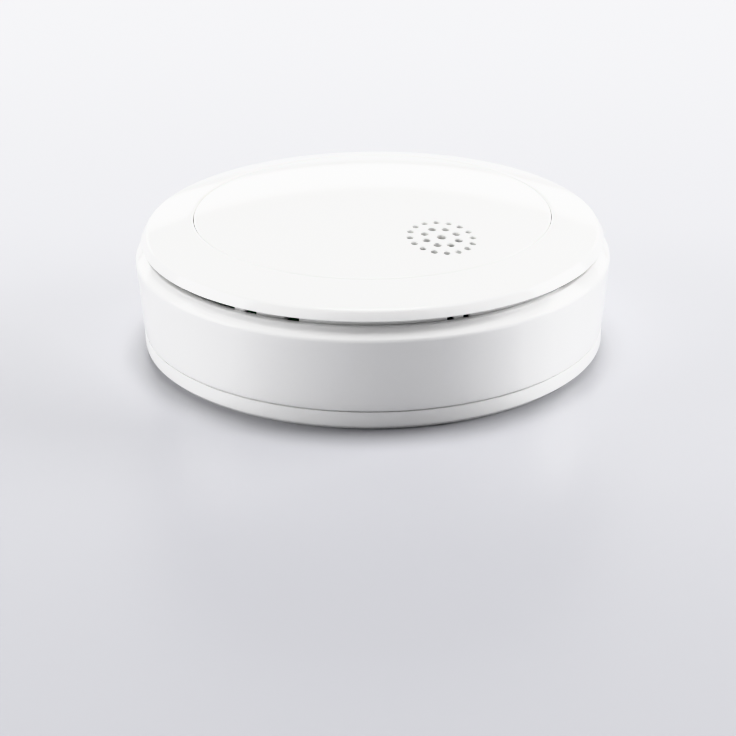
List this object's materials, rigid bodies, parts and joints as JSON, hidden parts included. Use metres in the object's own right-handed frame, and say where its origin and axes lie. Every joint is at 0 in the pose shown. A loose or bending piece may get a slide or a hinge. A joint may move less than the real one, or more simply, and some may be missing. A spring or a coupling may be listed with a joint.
{
  "type": "smoke detector",
  "caption": "Round white battery smoke alarm with a domed front, a smoke gap under its edge, sounder holes in a large test button and a twist-off mounting plate.",
  "frame": {"origin": "centre of the mounting face, on the ceiling side of the mounting plate", "axes": "+Z out of the ceiling towards the room, +X from the centre towards the sounder holes"},
  "size_m": [0.112, 0.112, 0.036],
  "materials": {
    "housing": "glossy white moulded plastic",
    "plate": "satin white moulded plastic",
    "inner_white": "matt white moulded plastic",
    "black_plastic": "matt black moulded plastic",
    "circuit_board": "green solder mask",
    "steel": "plated steel",
    "brass": "brass",
    "clear_plastic": "clear moulded plastic",
    "lamp": "tinted resin",
    "infrared_resin": "dark blue resin",
    "cell_wrap": "shrink-wrapped cell",
    "red_wire": "red wire insulation",
    "black_wire": "black wire insulation"
  },
  "bodies": {
    "plate": {"mounting_plate": "plate"},
    "alarm": {"rear_housing": "inner_white", "side_housing": "housing", "front_cover": "housing", "housing_screws": "steel", "board_screws": "steel", "circuit_board": "circuit_board", "chamber_base": "black_plastic", "labyrinth_lid": "black_plastic", "insect_screen": "steel", "infrared_led": "infrared_resin", "photodiode": "black_plastic", "photodiode_shield": "steel", "sounder_horn": "black_plastic", "piezo_disc": "brass", "sounder_contacts": "steel", "indicator_led": "lamp", "light_guide": "clear_plastic", "switch_body": "black_plastic", "return_springs": "steel", "microcontroller": "black_plastic", "capacitors": "black_plastic", "resistors": "black_plastic", "boost_coil": "black_plastic", "battery": "cell_wrap", "battery_strap": "black_plastic", "positive_lead": "red_wire", "negative_lead": "black_wire"},
    "test_key": {"test_button": "housing", "spring_retainers": "steel"},
    "plunger": {"switch_plunger": "inner_white"}
  },
  "joints": [
    {"name": "twist_lock", "type": "hinge", "parent": "plate", "child": "alarm", "pos_m": [0, 0, 0], "axis": [0, 0, 1], "range_deg": [0, 15]},
    {"name": "test_press", "type": "slide", "parent": "alarm", "child": "test_key", "axis": [0, 0, -1], "range_m": [0, 0.0006], "stiffness_N_per_m": 1500, "springref_m": -0.001, "deforming": ["return_springs"]},
    {"name": "switch_press", "type": "slide", "parent": "alarm", "child": "plunger", "axis": [0, 0, -1], "range_m": [0, 0.0006]}
  ],
  "couplings": [
    {"joint": "switch_press", "follows": "test_press", "ratio": 1}
  ]
}
